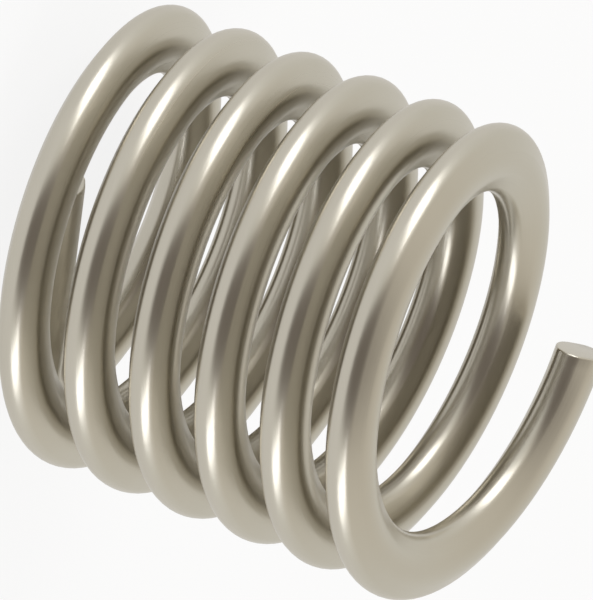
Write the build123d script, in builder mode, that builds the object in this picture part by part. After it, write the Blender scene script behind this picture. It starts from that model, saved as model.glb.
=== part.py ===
from build123d import *
import math
import os

# Helical thread insert: one length of diamond-section stainless wire wound into a
# right-hand coil, with a driving tang bent across the leading end.
# Millimetres. The coil stands on its leading end with +Z up its axis. The origin lies
# on that axis, in the plane that the leading end stands on, and the coil starts at +X.

# Wire section: a round-cornered diamond with 60 degree crests, one pointing out of the coil
# to fill the tapped hole's thread and one pointing in to form the screw's thread. Each
# round corner is a run of short flats on its radius, which keeps the long surface light.
WIRE_HEIGHT = 1.47          # crest to crest, across the coil's wall
CREST_ANGLE = 60.0          # included angle of each crest's flanks
CREST_RADIUS = 0.33
SIDE_RADIUS = 0.69          # on the two blunt corners that face the neighbouring turns
FLATS_PER_CREST = 3
FLATS_PER_SIDE = 1

# Coil, as wound and before it is driven into a hole.
COIL_OUTER_DIAMETER = 9.91  # at the leading end
COIL_PITCH = 1.57
COIL_TURNS = 6.19           # from the tang's bend to the free end
COIL_OPENING = 0.0134       # growth of the radius in each turn
STATIONS_PER_TURN = 12      # that the coil's smooth centre line passes through
STATION_STEP = 0.001        # of a turn, over which its direction at an end is taken

# Leading coil: the first part of a turn, which the tang's bend draws away from the coil.
LEADING_TURNS = 0.57
LEADING_DROP = 0.12

# Free coil: the last part of a turn, which springs outwards and away from the coil.
FREE_TURNS = 0.75
FREE_SPRING_OUT = 0.23
FREE_SPRING_UP = 0.15

# Driving tang, bent inwards across the coil.
TANG_BEND_RADIUS = 0.90     # to the middle of the wire
TANG_BEND_ANGLE = 94.0
TANG_LENGTH = 4.40          # straight length after the bend

# Break-off notch, a V across the outer crest beside the tang.
NOTCH_ANGLE = 12.0          # around the coil, from the start of the bend
NOTCH_DEPTH = 0.30
NOTCH_INCLUDED_ANGLE = 70.0

# The diamond's flanks would meet outside its rounded corners, at these sharp ones.
half_height = WIRE_HEIGHT / 2
half_crest = math.radians(CREST_ANGLE / 2)
sharp_height = half_height + CREST_RADIUS * (1 / math.sin(half_crest) - 1)
sharp_width = sharp_height * math.tan(half_crest)
side_reach = sharp_width - SIDE_RADIUS * (1 / math.cos(half_crest) - 1)

# The bend carries on down the coil's slope, so the edge of its wire's side flat is lowest.
coil_radius = COIL_OUTER_DIAMETER / 2 - half_height
leading_rise = COIL_PITCH + 2 * LEADING_DROP / LEADING_TURNS
coil_slope = math.atan2(leading_rise, 2 * math.pi * coil_radius)
half_flat = SIDE_RADIUS * math.tan(half_crest / (FLATS_PER_SIDE + 1))
start_height = (
    side_reach * math.cos(coil_slope) + (half_flat + TANG_BEND_RADIUS) * math.sin(coil_slope)
)


def round_corner(centre, radius, facing, turn, flats):
    """Returns the corners of the flats that wrap a round corner facing this way, in degrees."""
    step = turn / (flats + 1)
    reach = radius / math.cos(math.radians(step / 2))
    corners = []
    for i in range(flats + 1):
        angle = math.radians(facing + step * (i - flats / 2))
        corners.append((centre[0] + reach * math.cos(angle), centre[1] + reach * math.sin(angle)))
    return corners


def wire_section(plane):
    """Returns the wire's section on a plane whose X runs across the coil's wall."""
    crest_centre = half_height - CREST_RADIUS
    side_centre = side_reach - SIDE_RADIUS
    crest_turn = 180 - CREST_ANGLE
    with BuildSketch(plane) as section:
        with BuildLine():
            Polyline(
                *round_corner((crest_centre, 0), CREST_RADIUS, 0, crest_turn, FLATS_PER_CREST),
                *round_corner((0, side_centre), SIDE_RADIUS, 90, CREST_ANGLE, FLATS_PER_SIDE),
                *round_corner((-crest_centre, 0), CREST_RADIUS, 180, crest_turn, FLATS_PER_CREST),
                *round_corner((0, -side_centre), SIDE_RADIUS, 270, CREST_ANGLE, FLATS_PER_SIDE),
                close=True,
            )
        make_face()
    return section.sketch


def coil_point(turns):
    """Returns the wire's centre this many turns up from the tang's bend."""
    lead = max(0.0, 1 - turns / LEADING_TURNS)
    free = max(0.0, 1 + (turns - COIL_TURNS) / FREE_TURNS)
    radius = coil_radius + COIL_OPENING * turns + FREE_SPRING_OUT * free**2
    height = start_height + COIL_PITCH * turns
    height += LEADING_DROP * (1 - lead**2) + FREE_SPRING_UP * free**2
    return Vector(radius, 0, height).rotate(Axis.Z, 360 * turns)


def coil_direction(turns):
    """Returns the way the wire runs at this many turns."""
    return coil_point(turns + STATION_STEP) - coil_point(turns - STATION_STEP)


def faced_out(solid):
    """Returns a swept solid with its faces turned outwards, however the sweep left them."""
    return solid if solid.volume > 0 else Solid.cast(solid.wrapped.Reversed())


with BuildPart() as wire_coil:
    # Coil, swept in one piece from the tang's bend to the square-cut free end.
    count = math.ceil(COIL_TURNS * STATIONS_PER_TURN)
    stations = [coil_point(COIL_TURNS * i / count) for i in range(count + 1)]
    ends = [coil_direction(0), coil_direction(COIL_TURNS)]
    with BuildLine():
        coil = Spline(*stations, tangents=ends, tangent_scalars=[1, 1])
    start = coil @ 0
    back = -(coil % 0)
    start_section = wire_section(Plane(origin=start, x_dir=(1, 0, 0), z_dir=back))
    coil_wire = sweep(sections=start_section, path=coil, is_frenet=True, mode=Mode.PRIVATE)
    add(faced_out(coil_wire.solid()))

    # Tang: a round bend in from the coil's start, then a straight length across the coil.
    inward = Vector(-1, 0, 0)
    bend_axis = Axis(start + inward * TANG_BEND_RADIUS, back.cross(inward))
    revolve(start_section, axis=bend_axis, revolution_arc=TANG_BEND_ANGLE)
    tang_section = start_section.rotate(bend_axis, TANG_BEND_ANGLE)
    tang_direction = back.rotate(Axis((0, 0, 0), bend_axis.direction), TANG_BEND_ANGLE)
    extrude(tang_section, amount=TANG_LENGTH, dir=tang_direction)

    # Break-off notch.
    crest = coil_point(NOTCH_ANGLE / 360)
    outward = Vector(1, 0, 0).rotate(Axis.Z, NOTCH_ANGLE)
    mouth = NOTCH_DEPTH * math.tan(math.radians(NOTCH_INCLUDED_ANGLE / 2))
    with BuildSketch(Plane(origin=crest + outward * half_height, x_dir=outward, z_dir=(0, 0, 1))):
        with BuildLine():
            Polyline(
                (-NOTCH_DEPTH, 0), (NOTCH_DEPTH, 2 * mouth), (NOTCH_DEPTH, -2 * mouth), close=True
            )
        make_face()
    extrude(amount=sharp_width, both=True, mode=Mode.SUBTRACT)

wire_coil.part.label = "wire_coil"
os.makedirs("parts", exist_ok=True)
export_step(wire_coil.part, "parts/wire_coil.step")
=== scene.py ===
"""Dresses a helical thread insert: the wound steel wire, its finish, and the studio round it."""

import logging
import math
from dataclasses import dataclass, field
from enum import Enum

import bmesh
import bpy
from mathutils import Matrix, Vector

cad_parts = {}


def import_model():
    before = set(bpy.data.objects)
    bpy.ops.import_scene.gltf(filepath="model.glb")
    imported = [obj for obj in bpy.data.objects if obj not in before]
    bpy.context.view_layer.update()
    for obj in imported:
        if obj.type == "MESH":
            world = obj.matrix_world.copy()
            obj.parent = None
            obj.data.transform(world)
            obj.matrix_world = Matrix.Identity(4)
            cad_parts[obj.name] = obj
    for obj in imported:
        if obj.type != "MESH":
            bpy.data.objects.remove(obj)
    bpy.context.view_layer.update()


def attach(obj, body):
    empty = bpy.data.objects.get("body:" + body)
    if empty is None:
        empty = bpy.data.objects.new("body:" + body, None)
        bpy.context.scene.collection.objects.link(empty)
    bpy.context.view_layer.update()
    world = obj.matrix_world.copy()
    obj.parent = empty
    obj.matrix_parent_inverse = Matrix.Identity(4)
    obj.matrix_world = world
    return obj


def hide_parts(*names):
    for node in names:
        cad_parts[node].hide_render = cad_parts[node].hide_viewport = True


log = logging.getLogger("thread_insert")

MM = 0.001
MERGE_DISTANCE = 1e-7


class LampSide(Enum):
    """Which side of the insert a lamp stands on, as its compass angle from +X in degrees."""

    LEFT = 164.0
    RIGHT = 316.0


class NodeBench:
    """Places nodes in one tree and links them, so that a tree reads as a list of steps."""

    def __init__(self, tree: bpy.types.NodeTree) -> None:
        """Starts on an empty tree.

        Args:
            tree: The shader or geometry tree to fill.
        """
        self.tree = tree
        tree.nodes.clear()

    def add(self, kind: str, **settings: object) -> bpy.types.Node:
        """Adds one node.

        Args:
            kind: The node's type name.
            **settings: Properties to set on the node, such as its operation.

        Returns:
            The new node.
        """
        node = self.tree.nodes.new(kind)
        for name, value in settings.items():
            setattr(node, name, value)
        return node

    def feed(self, socket: bpy.types.NodeSocket, value: object) -> None:
        """Links an output to a socket, or sets the socket to a plain value."""
        if isinstance(value, bpy.types.NodeSocket):
            self.tree.links.new(value, socket)
        else:
            socket.default_value = value

    def math(self, operation: str, *values: object) -> bpy.types.NodeSocket:
        """Adds a Math node.

        Args:
            operation: The Math node's operation.
            *values: Its inputs, each a number or an output socket.

        Returns:
            The node's output.
        """
        node = self.add("ShaderNodeMath", operation=operation)
        for socket, value in zip(node.inputs, values):
            self.feed(socket, value)
        return node.outputs[0]

    def vector(self, operation: str, *values: object) -> bpy.types.NodeSocket:
        """Adds a Vector Math node.

        Args:
            operation: The Vector Math node's operation.
            *values: Its inputs, each a vector, a number or an output socket.

        Returns:
            The node's output, a vector or, for a dot product, a number.
        """
        node = self.add("ShaderNodeVectorMath", operation=operation)
        sockets = [s for s in node.inputs if s.enabled]
        for socket, value in zip(sockets, values):
            self.feed(socket, value)
        return next(s for s in node.outputs if s.enabled)

    def fade(self, value: object, start: float, end: float) -> bpy.types.NodeSocket:
        """Returns a smooth step from 0 where the value is at its start to 1 at its end."""
        node = self.add("ShaderNodeMapRange", interpolation_type="SMOOTHSTEP")
        for socket, given in zip(node.inputs, (value, start, end)):
            self.feed(socket, given)
        return node.outputs[0]

    def combine(self, x: object, y: object, z: object) -> bpy.types.NodeSocket:
        """Returns a vector made of three numbers or outputs."""
        node = self.add("ShaderNodeCombineXYZ")
        for socket, value in zip(node.inputs, (x, y, z)):
            self.feed(socket, value)
        return node.outputs[0]

    def choose(self, test: object, if_false: object, if_true: object) -> bpy.types.NodeSocket:
        """Returns one of two vectors, by a true or false field of a geometry tree."""
        node = self.add("GeometryNodeSwitch", input_type="VECTOR")
        for socket, value in zip(node.inputs, (test, if_false, if_true)):
            self.feed(socket, value)
        return node.outputs[0]

    def compare(self, operation: str, a: object, b: object) -> bpy.types.NodeSocket:
        """Returns a true or false field that compares two numbers in a geometry tree."""
        node = self.add("FunctionNodeCompare", data_type="FLOAT", operation=operation)
        self.feed(node.inputs[0], a)
        self.feed(node.inputs[1], b)
        return node.outputs[0]


def heading(side: float, height: float) -> Vector:
    """Returns the unit vector to a compass angle from +X and a height above the level, in degrees."""
    turn, rise = math.radians(side), math.radians(height)
    return Vector((math.cos(turn) * math.cos(rise), math.sin(turn) * math.cos(rise), math.sin(rise)))


@dataclass(frozen=True)
class SteelFinish:
    """Bright drawn stainless steel, with the die's faint lines along the wire and a warm tint."""

    colour: tuple[float, float, float, float] = (0.552, 0.519, 0.444, 1.0)
    shade: tuple[float, float, float, float] = (0.508, 0.476, 0.400, 1.0)
    roughness: float = 0.29
    roughness_swing: float = 0.06
    edge_tint: tuple[float, float, float, float] = (0.90, 0.89, 0.87, 1.0)
    ior: float = 2.5
    cloud_size: float = 420.0
    cloud_detail: float = 3.0
    line_count: float = 60.0
    line_breaks: float = 6.0
    line_detail: float = 2.0
    line_strength: float = 0.10
    line_depth: float = 0.01

    def drawn_lines(self) -> bpy.types.NodeTree:
        """Builds the shared group of drawn-wire effects.

        Returns:
            A shader group that puts out a soft cloud mask and the height of fine lines.
        """
        group = bpy.data.node_groups.new("Drawn wire marks", "ShaderNodeTree")
        face = group.interface
        face.new_socket(name="Cloud size", in_out="INPUT", socket_type="NodeSocketFloat")
        face.new_socket(name="Line count", in_out="INPUT", socket_type="NodeSocketFloat")
        face.new_socket(name="Cloud", in_out="OUTPUT", socket_type="NodeSocketFloat")
        face.new_socket(name="Lines", in_out="OUTPUT", socket_type="NodeSocketFloat")
        bench = NodeBench(group)
        given = bench.add("NodeGroupInput")
        put = bench.add("NodeGroupOutput")
        place = bench.add("ShaderNodeTexCoord")
        cloud = bench.add("ShaderNodeTexNoise")
        bench.feed(cloud.inputs["Vector"], place.outputs["Object"])
        bench.feed(cloud.inputs["Scale"], given.outputs["Cloud size"])
        cloud.inputs["Detail"].default_value = self.cloud_detail
        around = bench.add("ShaderNodeAttribute", attribute_name="wire_round")
        along = bench.add("ShaderNodeAttribute", attribute_name="wire_along")
        across = bench.math("MULTIPLY", around.outputs["Fac"], given.outputs["Line count"])
        slow = bench.math("MULTIPLY", along.outputs["Fac"], self.line_breaks)
        lines = bench.add("ShaderNodeTexNoise", noise_dimensions="2D")
        bench.feed(lines.inputs["Vector"], bench.combine(across, slow, 0.0))
        lines.inputs["Scale"].default_value = 1.0
        lines.inputs["Detail"].default_value = self.line_detail
        bench.feed(put.inputs["Cloud"], cloud.outputs["Fac"])
        bench.feed(put.inputs["Lines"], lines.outputs["Fac"])
        return group

    def material(self) -> bpy.types.Material:
        """Builds the wire's material.

        Returns:
            The finished steel material.
        """
        steel = bpy.data.materials.new("Drawn stainless steel")
        steel.use_nodes = True
        bench = NodeBench(steel.node_tree)
        out = bench.add("ShaderNodeOutputMaterial")
        metal = bench.add("ShaderNodeBsdfPrincipled")
        metal.inputs["Metallic"].default_value = 1.0
        metal.inputs["IOR"].default_value = self.ior
        metal.inputs["Specular Tint"].default_value = self.edge_tint
        marks = bench.add("ShaderNodeGroup", node_tree=self.drawn_lines())
        marks.inputs["Cloud size"].default_value = self.cloud_size
        marks.inputs["Line count"].default_value = self.line_count
        tint = bench.add("ShaderNodeMix", data_type="RGBA")
        bench.feed(tint.inputs["Factor"], marks.outputs["Cloud"])
        bench.feed(tint.inputs["A"], self.shade)
        bench.feed(tint.inputs["B"], self.colour)
        bench.feed(metal.inputs["Base Color"], tint.outputs["Result"])
        swing = bench.math("MULTIPLY_ADD", marks.outputs["Lines"], self.roughness_swing,
                           self.roughness - self.roughness_swing / 2)
        bench.feed(metal.inputs["Roughness"], swing)
        bump = bench.add("ShaderNodeBump")
        bump.inputs["Strength"].default_value = self.line_strength
        bump.inputs["Distance"].default_value = self.line_depth * MM
        bench.feed(bump.inputs["Height"], marks.outputs["Lines"])
        bench.feed(metal.inputs["Normal"], bump.outputs["Normal"])
        bench.feed(out.inputs["Surface"], metal.outputs["BSDF"])
        return steel


@dataclass
class WireSection:
    """The wire's round-cornered diamond, in millimetres."""

    height: float = 1.47
    crest_angle: float = 60.0
    crest_radius: float = 0.33
    side_radius: float = 0.69
    corner_steps: int = 12

    @property
    def sharp_height(self) -> float:
        """Half the height between the diamond's sharp corners."""
        return self.height / 2 + self.crest_radius * (1 / math.sin(math.radians(self.crest_angle / 2)) - 1)

    @property
    def sharp_width(self) -> float:
        """Half the width between the diamond's sharp corners."""
        return self.sharp_height * math.tan(math.radians(self.crest_angle / 2))

    @property
    def side_reach(self) -> float:
        """How far the rounded side stands from the wire's middle."""
        return self.sharp_width - self.side_radius * (1 / math.cos(math.radians(self.crest_angle / 2)) - 1)


@dataclass
class WoundWire:
    """The insert's one piece: a coil of diamond wire with its free coil and its driving tang.

    Sizes are in millimetres and degrees, as the solid's are.
    """

    section: WireSection = field(default_factory=WireSection)
    outer_diameter: float = 9.91
    pitch: float = 1.57
    turns: float = 6.19
    opening: float = 0.0134
    leading_turns: float = 0.57
    leading_drop: float = 0.12
    free_turns: float = 0.75
    spring_out: float = 0.23
    spring_up: float = 0.15
    bend_radius: float = 0.90
    bend_angle: float = 94.0
    tang_length: float = 4.40
    notch_angle: float = 12.0
    notch_depth: float = 0.30
    notch_opening: float = 70.0
    end_rounding: float = 0.05
    steps_per_turn: int = 96
    bend_steps: int = 28
    tang_steps: int = 2
    rim_steps: int = 4
    sharp_edge: float = 40.0

    @property
    def coil_radius(self) -> float:
        """Radius of the wire's middle at the tang."""
        return self.outer_diameter / 2 - self.section.height / 2

    @property
    def leading_rise(self) -> float:
        """Rise in each turn where the coil starts."""
        return self.pitch + 2 * self.leading_drop / self.leading_turns

    @property
    def start_height(self) -> float:
        """Height of the wire's middle where the coil starts."""
        slope = math.atan2(self.leading_rise, 2 * math.pi * self.coil_radius)
        side_flat = self.section.side_radius * math.tan(math.radians(self.section.crest_angle / 4))
        return self.section.side_reach * math.cos(slope) + (side_flat + self.bend_radius) * math.sin(slope)

    def inputs(self) -> dict[str, float]:
        """Returns the tree's named sizes, with lengths in metres and angles in radians."""
        return {
            "Coil radius": self.coil_radius * MM,
            "Start height": self.start_height * MM,
            "Pitch": self.pitch * MM,
            "Turns": self.turns,
            "Opening": self.opening * MM,
            "Leading rise": self.leading_rise * MM,
            "Leading turns": self.leading_turns,
            "Leading drop": self.leading_drop * MM,
            "Free turns": self.free_turns,
            "Spring out": self.spring_out * MM,
            "Spring up": self.spring_up * MM,
            "Bend radius": self.bend_radius * MM,
            "Bend angle": math.radians(self.bend_angle),
            "Tang length": self.tang_length * MM,
            "Sharp height": self.section.sharp_height * MM,
            "Sharp width": self.section.sharp_width * MM,
            "Crest radius": self.section.crest_radius * MM,
            "Side radius": self.section.side_radius * MM,
        }

    def winding(self, steel: bpy.types.Material) -> bpy.types.NodeTree:
        """Builds the geometry tree that winds the wire.

        Args:
            steel: The material that the tree sets on the wire.

        Returns:
            The tree, with one named input for each size.
        """
        tree = bpy.data.node_groups.new("Wind wire", "GeometryNodeTree")
        tree.interface.new_socket(name="Geometry", in_out="OUTPUT", socket_type="NodeSocketGeometry")
        for name in self.inputs():
            tree.interface.new_socket(name=name, in_out="INPUT", socket_type="NodeSocketFloat")
        bench = NodeBench(tree)
        given = bench.add("NodeGroupInput").outputs
        line = self._centre_line(bench, given)
        profile = self._profile(bench, given)
        wrap = bench.add("GeometryNodeCurveToMesh")
        bench.feed(wrap.inputs["Curve"], line)
        bench.feed(wrap.inputs["Profile Curve"], profile)
        wrap.inputs["Fill Caps"].default_value = True
        real = bench.add("GeometryNodeRealizeInstances")
        bench.feed(real.inputs["Geometry"], wrap.outputs["Mesh"])
        dress = bench.add("GeometryNodeSetMaterial")
        bench.feed(dress.inputs["Geometry"], real.outputs["Geometry"])
        bench.feed(dress.inputs["Material"], steel)
        put = bench.add("NodeGroupOutput")
        bench.feed(put.inputs[0], dress.outputs["Geometry"])
        return tree

    def _centre_line(self, bench: NodeBench, given: bpy.types.NodeOutputs) -> bpy.types.NodeSocket:
        """Lays the wire's centre line: tang tip, straight tang, bend, then the coil.

        Args:
            bench: The tree's bench.
            given: The tree's named inputs.

        Returns:
            The centre line as a curve, with level normals and its stored place along the wire.
        """
        coil_steps = math.ceil(self.turns * self.steps_per_turn)
        first_coil = self.tang_steps + self.bend_steps
        points = bench.add("GeometryNodeMeshLine")
        points.inputs["Count"].default_value = first_coil + coil_steps + 1
        index = bench.add("GeometryNodeInputIndex").outputs[0]

        turns = bench.math("DIVIDE", bench.math("SUBTRACT", index, first_coil), coil_steps)
        turns = bench.math("MULTIPLY", turns, given["Turns"])
        lead = bench.math("SUBTRACT", 1.0, bench.math("DIVIDE", turns, given["Leading turns"]))
        lead = bench.math("MAXIMUM", lead, 0.0)
        lead = bench.math("SUBTRACT", 1.0, bench.math("MULTIPLY", lead, lead))
        into_free = bench.math("DIVIDE", bench.math("SUBTRACT", turns, given["Turns"]), given["Free turns"])
        share = bench.math("MAXIMUM", bench.math("ADD", into_free, 1.0), 0.0)
        share = bench.math("MULTIPLY", share, share)
        radius = bench.math("MULTIPLY_ADD", given["Opening"], turns, given["Coil radius"])
        radius = bench.math("MULTIPLY_ADD", given["Spring out"], share, radius)
        height = bench.math("MULTIPLY_ADD", given["Pitch"], turns, given["Start height"])
        height = bench.math("MULTIPLY_ADD", given["Leading drop"], lead, height)
        height = bench.math("MULTIPLY_ADD", given["Spring up"], share, height)
        angle = bench.math("MULTIPLY", turns, 2 * math.pi)
        coil = bench.combine(
            bench.math("MULTIPLY", radius, bench.math("COSINE", angle)),
            bench.math("MULTIPLY", radius, bench.math("SINE", angle)),
            height,
        )

        start = bench.combine(given["Coil radius"], 0.0, given["Start height"])
        onward = bench.combine(
            bench.math("DIVIDE", given["Opening"], 2 * math.pi),
            given["Coil radius"],
            bench.math("DIVIDE", given["Leading rise"], 2 * math.pi),
        )
        back = bench.vector("SCALE", bench.vector("NORMALIZE", onward), -1.0)
        inward = (-1.0, 0.0, 0.0)
        centre = bench.vector("ADD", start, bench.vector("SCALE", inward, given["Bend radius"]))
        left = bench.math("DIVIDE", bench.math("SUBTRACT", first_coil, index), self.bend_steps)
        swing = bench.math("MULTIPLY", bench.math("MINIMUM", left, 1.0), given["Bend angle"])
        arm = bench.vector(
            "SUBTRACT",
            bench.vector("SCALE", back, bench.math("SINE", swing)),
            bench.vector("SCALE", inward, bench.math("COSINE", swing)),
        )
        bend = bench.vector("ADD", centre, bench.vector("SCALE", arm, given["Bend radius"]))
        tang_way = bench.vector(
            "ADD",
            bench.vector("SCALE", inward, bench.math("SINE", given["Bend angle"])),
            bench.vector("SCALE", back, bench.math("COSINE", given["Bend angle"])),
        )
        out = bench.math("DIVIDE", bench.math("SUBTRACT", self.tang_steps, index), self.tang_steps)
        run = bench.math("MULTIPLY", bench.math("MAXIMUM", out, 0.0), given["Tang length"])
        tang = bench.vector("ADD", bend, bench.vector("SCALE", tang_way, run))

        place = bench.choose(bench.compare("GREATER_EQUAL", index, first_coil), tang, coil)
        moved = bench.add("GeometryNodeSetPosition")
        bench.feed(moved.inputs["Geometry"], points.outputs["Mesh"])
        bench.feed(moved.inputs["Position"], place)
        curve = bench.add("GeometryNodeMeshToCurve")
        bench.feed(curve.inputs["Mesh"], moved.outputs["Geometry"])
        level = bench.add("GeometryNodeSetCurveNormal")
        self._choose_menu(level, "Z_UP")
        bench.feed(level.inputs["Curve"], curve.outputs["Curve"])
        return self._store(bench, level.outputs["Curve"], "wire_along")

    def _profile(self, bench: NodeBench, given: bpy.types.NodeOutputs) -> bpy.types.NodeSocket:
        """Draws the wire's section: a diamond whose four corners are rounded.

        Args:
            bench: The tree's bench.
            given: The tree's named inputs.

        Returns:
            The section as a closed curve, with its stored place round the wire.
        """
        ring = bench.add("GeometryNodeCurvePrimitiveCircle")
        ring.inputs["Resolution"].default_value = 4
        ring.inputs["Radius"].default_value = 1.0
        spot = bench.add("GeometryNodeInputPosition").outputs[0]
        reach = bench.combine(given["Sharp height"], given["Sharp width"], 0.0)
        moved = bench.add("GeometryNodeSetPosition")
        bench.feed(moved.inputs["Geometry"], ring.outputs["Curve"])
        bench.feed(moved.inputs["Position"], bench.vector("MULTIPLY", spot, reach))
        index = bench.add("GeometryNodeInputIndex").outputs[0]
        is_side = bench.math("MODULO", index, 2.0)
        growth = bench.math("SUBTRACT", given["Side radius"], given["Crest radius"])
        rounding = bench.math("MULTIPLY_ADD", is_side, growth, given["Crest radius"])
        round_off = bench.add("GeometryNodeFilletCurve")
        self._choose_menu(round_off, "POLY")
        bench.feed(round_off.inputs["Curve"], moved.outputs["Geometry"])
        bench.feed(round_off.inputs["Radius"], rounding)
        round_off.inputs["Count"].default_value = self.section.corner_steps
        return self._store(bench, round_off.outputs["Curve"], "wire_round")

    @staticmethod
    def _choose_menu(node: bpy.types.Node, choice: str) -> None:
        """Sets a curve node's mode, which is a property or a menu socket by its make."""
        if hasattr(node, "mode"):
            node.mode = choice
        else:
            node.inputs["Mode"].default_value = choice.title().replace("_", " ")

    @staticmethod
    def _store(bench: NodeBench, curve: bpy.types.NodeSocket, name: str) -> bpy.types.NodeSocket:
        """Stores each point's share of its curve's length under a name.

        Args:
            bench: The tree's bench.
            curve: The curve to write on.
            name: The attribute's name.

        Returns:
            The curve with its attribute.
        """
        share = bench.add("GeometryNodeSplineParameter").outputs["Factor"]
        keep = bench.add("GeometryNodeStoreNamedAttribute", data_type="FLOAT", domain="POINT")
        bench.feed(keep.inputs["Geometry"], curve)
        keep.inputs["Name"].default_value = name
        bench.feed(keep.inputs["Value"], share)
        return keep.outputs["Geometry"]

    def build(self, steel: bpy.types.Material) -> bpy.types.Object:
        """Winds the wire and cuts its notch.

        Args:
            steel: The wire's material.

        Returns:
            The finished wire, a plain mesh at the origin.
        """
        blank = bpy.data.objects.new("winding_blank", bpy.data.meshes.new("winding_blank"))
        bpy.context.scene.collection.objects.link(blank)
        winder = blank.modifiers.new("Wind wire", "NODES")
        winder.node_group = self.winding(steel)
        sizes = self.inputs()
        for item in winder.node_group.interface.items_tree:
            if item.in_out == "INPUT":
                winder[item.identifier] = sizes[item.name]
        graph = bpy.context.evaluated_depsgraph_get()
        mesh = bpy.data.meshes.new_from_object(blank.evaluated_get(graph))
        blank.modifiers.remove(winder)
        bpy.data.objects.remove(blank)
        mesh.name = "insert_wire"
        wire = bpy.data.objects.new("insert_wire", mesh)
        bpy.context.scene.collection.objects.link(wire)
        self._round_ends(mesh)
        self._cut_notch(wire, steel)
        wire.data.shade_smooth()
        wire.data.set_sharp_from_angle(angle=math.radians(self.sharp_edge))
        return wire

    def _round_ends(self, mesh: bpy.types.Mesh) -> None:
        """Rounds the rims of the wire's two cut ends.

        Args:
            mesh: The wire's mesh, whose only many-sided faces are its ends.
        """
        work = bmesh.new()
        work.from_mesh(mesh)
        bmesh.ops.remove_doubles(work, verts=work.verts, dist=MERGE_DISTANCE)
        caps = [f for f in work.faces if len(f.verts) > 4]
        rims = [e for f in caps for e in f.edges]
        bmesh.ops.bevel(work, geom=rims, offset=self.end_rounding * MM, segments=self.rim_steps, profile=0.5,
                        affect="EDGES", clamp_overlap=True)
        bmesh.ops.recalc_face_normals(work, faces=work.faces)
        work.to_mesh(mesh)
        work.free()

    def _cut_notch(self, wire: bpy.types.Object, steel: bpy.types.Material) -> None:
        """Cuts the break-off notch, a V across the outer crest beside the tang.

        Args:
            wire: The wire, which keeps the cut.
            steel: The material on the notch's walls.
        """
        turn = math.radians(self.notch_angle)
        middle = self.coil_radius + self.opening * self.notch_angle / 360
        crest = middle + self.section.height / 2
        height = self.start_height + self.leading_rise * self.notch_angle / 360
        mouth = self.notch_depth * math.tan(math.radians(self.notch_opening / 2))
        reach = self.section.sharp_width
        ends = []
        work = bmesh.new()
        for z in (-reach, reach):
            flat = [(-self.notch_depth, 0), (self.notch_depth, 2 * mouth), (self.notch_depth, -2 * mouth)]
            ends.append([work.verts.new((crest + x, y, z)) for x, y in flat])
        work.faces.new(ends[0])
        work.faces.new(ends[1])
        for i in range(3):
            j = (i + 1) % 3
            work.faces.new((ends[0][i], ends[0][j], ends[1][j], ends[1][i]))
        bmesh.ops.recalc_face_normals(work, faces=work.faces)
        work.transform(Matrix.Translation((0, 0, height * MM)) @ Matrix.Rotation(turn, 4, "Z")
                       @ Matrix.Scale(MM, 4))
        mesh = bpy.data.meshes.new("notch_wedge")
        work.to_mesh(mesh)
        work.free()
        mesh.materials.append(steel)
        wedge = bpy.data.objects.new("notch_wedge", mesh)
        bpy.context.scene.collection.objects.link(wedge)
        cut = wire.modifiers.new("Notch", "BOOLEAN")
        cut.operation = "DIFFERENCE"
        cut.solver = "EXACT"
        cut.object = wedge
        graph = bpy.context.evaluated_depsgraph_get()
        done = bpy.data.meshes.new_from_object(wire.evaluated_get(graph))
        wire.modifiers.clear()
        wire.data = done
        bpy.data.objects.remove(wedge)


@dataclass
class Lamp:
    """A soft box that hangs round the insert and faces it, with lengths in metres."""

    name: str
    side: float
    height: float
    distance: float
    width: float
    length: float
    brightness: float
    colour: tuple[float, float, float] = (1.0, 1.0, 1.0)

    def build(self, aim: Vector) -> bpy.types.Object:
        """Hangs the lamp.

        Args:
            aim: The point that it faces.

        Returns:
            The lamp.
        """
        data = bpy.data.lights.new(self.name, "AREA")
        data.shape = "RECTANGLE"
        data.size = self.width
        data.size_y = self.length
        data.energy = self.brightness * math.pi * self.width * self.length
        data.color = self.colour
        lamp = bpy.data.objects.new(self.name, data)
        bpy.context.scene.collection.objects.link(lamp)
        away = heading(self.side, self.height)
        turn = away.to_track_quat("Z", "Y").to_matrix().to_4x4()
        lamp.matrix_world = Matrix.Translation(aim + away * self.distance) @ turn
        return lamp


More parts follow.
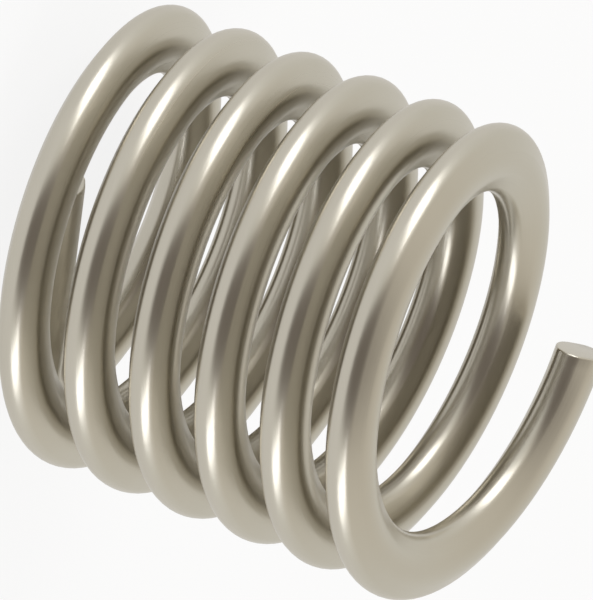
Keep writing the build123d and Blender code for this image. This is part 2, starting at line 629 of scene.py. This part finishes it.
@dataclass
class Studio:
    """The pale floor, the soft lamps and the camera."""

    floor_width: float = 1.2
    floor_colour: tuple[float, float, float, float] = (0.9, 0.9, 0.9, 1.0)
    room_low: tuple[float, float, float, float] = (0.92, 0.92, 0.90, 1.0)
    room_high: tuple[float, float, float, float] = (0.84, 0.80, 0.73, 1.0)
    room_dark: tuple[float, float, float, float] = (0.21, 0.185, 0.165, 1.0)
    dark_side: float = 249.0
    dark_height: float = 45.0
    dark_spread: tuple[float, float] = (0.50, 0.80)
    dark_edge: tuple[float, float] = (1.3, 0.7)
    dark_facing: tuple[float, float] = (0.0, 0.3)
    ceiling_fade: tuple[float, float] = (0.2, 0.95)
    floor_glow: float = 0.85
    aim_turn: float = 3.13
    camera_side: float = 233.88
    camera_height: float = 22.34
    camera_roll: float = 20.505
    camera_distance: float = 0.50
    view_width: float = 12.344
    view_centre: tuple[float, float] = (0.3198, -0.0736)

    def floor(self) -> bpy.types.Object:
        """Lays the floor that the insert stands on.

        Returns:
            The floor.
        """
        half = self.floor_width / 2
        mesh = bpy.data.meshes.new("floor")
        corners = [(-half, -half, 0), (half, -half, 0), (half, half, 0), (-half, half, 0)]
        mesh.from_pydata(corners, [], [(0, 1, 2, 3)])
        floor = bpy.data.objects.new("floor", mesh)
        bpy.context.scene.collection.objects.link(floor)
        mesh.materials.append(self._floor_paper())
        return floor

    def _floor_paper(self) -> bpy.types.Material:
        """Returns the floor's pale paper, white to the eye and in gloss, which keeps the shadow."""
        paper = bpy.data.materials.new("Pale paper")
        paper.use_nodes = True
        bench = NodeBench(paper.node_tree)
        out = bench.add("ShaderNodeOutputMaterial")
        matt = bench.add("ShaderNodeBsdfDiffuse")
        matt.inputs["Color"].default_value = self.floor_colour
        glow = bench.add("ShaderNodeEmission")
        glow.inputs["Strength"].default_value = 1.0
        ray = bench.add("ShaderNodeLightPath").outputs
        seen = bench.math("MAXIMUM", ray["Is Camera Ray"], ray["Is Glossy Ray"])
        seen = bench.math("MAXIMUM", seen, ray["Is Transmission Ray"])
        blend = bench.add("ShaderNodeMixShader")
        bench.feed(blend.inputs[0], bench.math("MULTIPLY", seen, self.floor_glow))
        bench.feed(blend.inputs[1], matt.outputs[0])
        bench.feed(blend.inputs[2], glow.outputs[0])
        bench.feed(out.inputs["Surface"], blend.outputs[0])
        return paper

    def air(self) -> None:
        """Fills the room with soft light: pale walls, a duller ceiling and a dark side."""
        world = bpy.data.worlds.new("Studio air")
        bpy.context.scene.world = world
        world.use_nodes = True
        bench = NodeBench(world.node_tree)
        out = bench.add("ShaderNodeOutputWorld")
        light = bench.add("ShaderNodeBackground")
        way = bench.add("ShaderNodeTexCoord").outputs["Generated"]
        split = bench.add("ShaderNodeSeparateXYZ")
        bench.feed(split.inputs[0], way)
        rise = bench.fade(split.outputs["Z"], *self.ceiling_fade)
        room = self._blend(bench, rise, self.room_low, self.room_high)
        middle = heading(self.dark_side, self.dark_height)
        across = heading(self.dark_side + 90, 0)
        upward = middle.cross(across)
        spread = [
            bench.math("DIVIDE", bench.vector("DOT_PRODUCT", way, axis[:]), reach)
            for axis, reach in zip((across, upward), self.dark_spread)
        ]
        span = bench.math("SQRT", bench.math("ADD", *(bench.math("MULTIPLY", s, s) for s in spread)))
        darkness = bench.fade(span, *self.dark_edge)
        facing = bench.fade(bench.vector("DOT_PRODUCT", way, middle[:]), *self.dark_facing)
        darkness = bench.math("MULTIPLY", darkness, facing)
        bench.feed(light.inputs["Color"], self._blend(bench, darkness, room, self.room_dark))
        bench.feed(out.inputs["Surface"], light.outputs[0])

    @staticmethod
    def _blend(bench: NodeBench, share: object, start: object, end: object) -> bpy.types.NodeSocket:
        """Returns a colour between two others."""
        mix = bench.add("ShaderNodeMix", data_type="RGBA")
        bench.feed(mix.inputs["Factor"], share)
        colours = [s for s in mix.inputs if s.type == "RGBA"]
        bench.feed(colours[0], start)
        bench.feed(colours[1], end)
        return next(s for s in mix.outputs if s.type == "RGBA")

    def lamps(self, aim: Vector) -> list[bpy.types.Object]:
        """Hangs the soft lamps.

        Args:
            aim: The point that they face.

        Returns:
            The lamps.
        """
        plan = [
            Lamp(
                name="left_soft_box",
                side=LampSide.LEFT.value,
                height=18,
                distance=0.5,
                width=0.25,
                length=0.46,
                brightness=2.6,
                colour=(0.98, 1.0, 1.06),
            ),
            Lamp(
                name="right_soft_box",
                side=LampSide.RIGHT.value,
                height=28,
                distance=0.5,
                width=0.20,
                length=0.40,
                brightness=2.3,
                colour=(0.97, 1.0, 1.08),
            ),
        ]
        return [lamp.build(aim) for lamp in plan]

    def camera(self, aim: Vector) -> bpy.types.Object:
        """Places the camera.

        Args:
            aim: The point on the coil's axis at its mid-height.

        Returns:
            The camera, which is also made the scene's own.
        """
        away = heading(self.camera_side, self.camera_height)
        up = (Vector((0, 0, 1)) - away * away.z).normalized()
        side = up.cross(away)
        roll = math.radians(self.camera_roll)
        # The coil's axis runs right and a little down in the view.
        right = up * math.cos(roll) + side * -math.sin(roll)
        top = away.cross(right)
        data = bpy.data.cameras.new("camera")
        data.sensor_fit = "HORIZONTAL"
        data.sensor_width = 36
        width = self.view_width * MM
        data.lens = data.sensor_width * self.camera_distance / width
        data.clip_start = 0.01
        data.clip_end = 10
        camera = bpy.data.objects.new("camera", data)
        bpy.context.scene.collection.objects.link(camera)
        centre = aim + (right * self.view_centre[0] + top * self.view_centre[1]) * MM
        basis = Matrix((right, top, away)).transposed().to_4x4()
        camera.matrix_world = Matrix.Translation(centre + away * self.camera_distance) @ basis
        bpy.context.scene.camera = camera
        return camera


def main() -> None:
    """Builds the insert and its studio in order."""
    logging.basicConfig(level=logging.INFO, format="%(name)s: %(message)s")
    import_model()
    steel = SteelFinish().material()
    wound = WoundWire()
    wire = wound.build(steel)
    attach(wire, "root")
    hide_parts("wire_coil")
    log.info("wire: %d faces", len(wire.data.polygons))

    studio = Studio()
    aim_height = wound.start_height + wound.leading_drop + wound.pitch * studio.aim_turn
    aim = Vector((0, 0, aim_height * MM))
    studio.floor()
    studio.air()
    studio.lamps(aim)
    studio.camera(aim)

    scene = bpy.context.scene
    scene.view_settings.view_transform = "Standard"


if __name__ == "__main__":
    main()
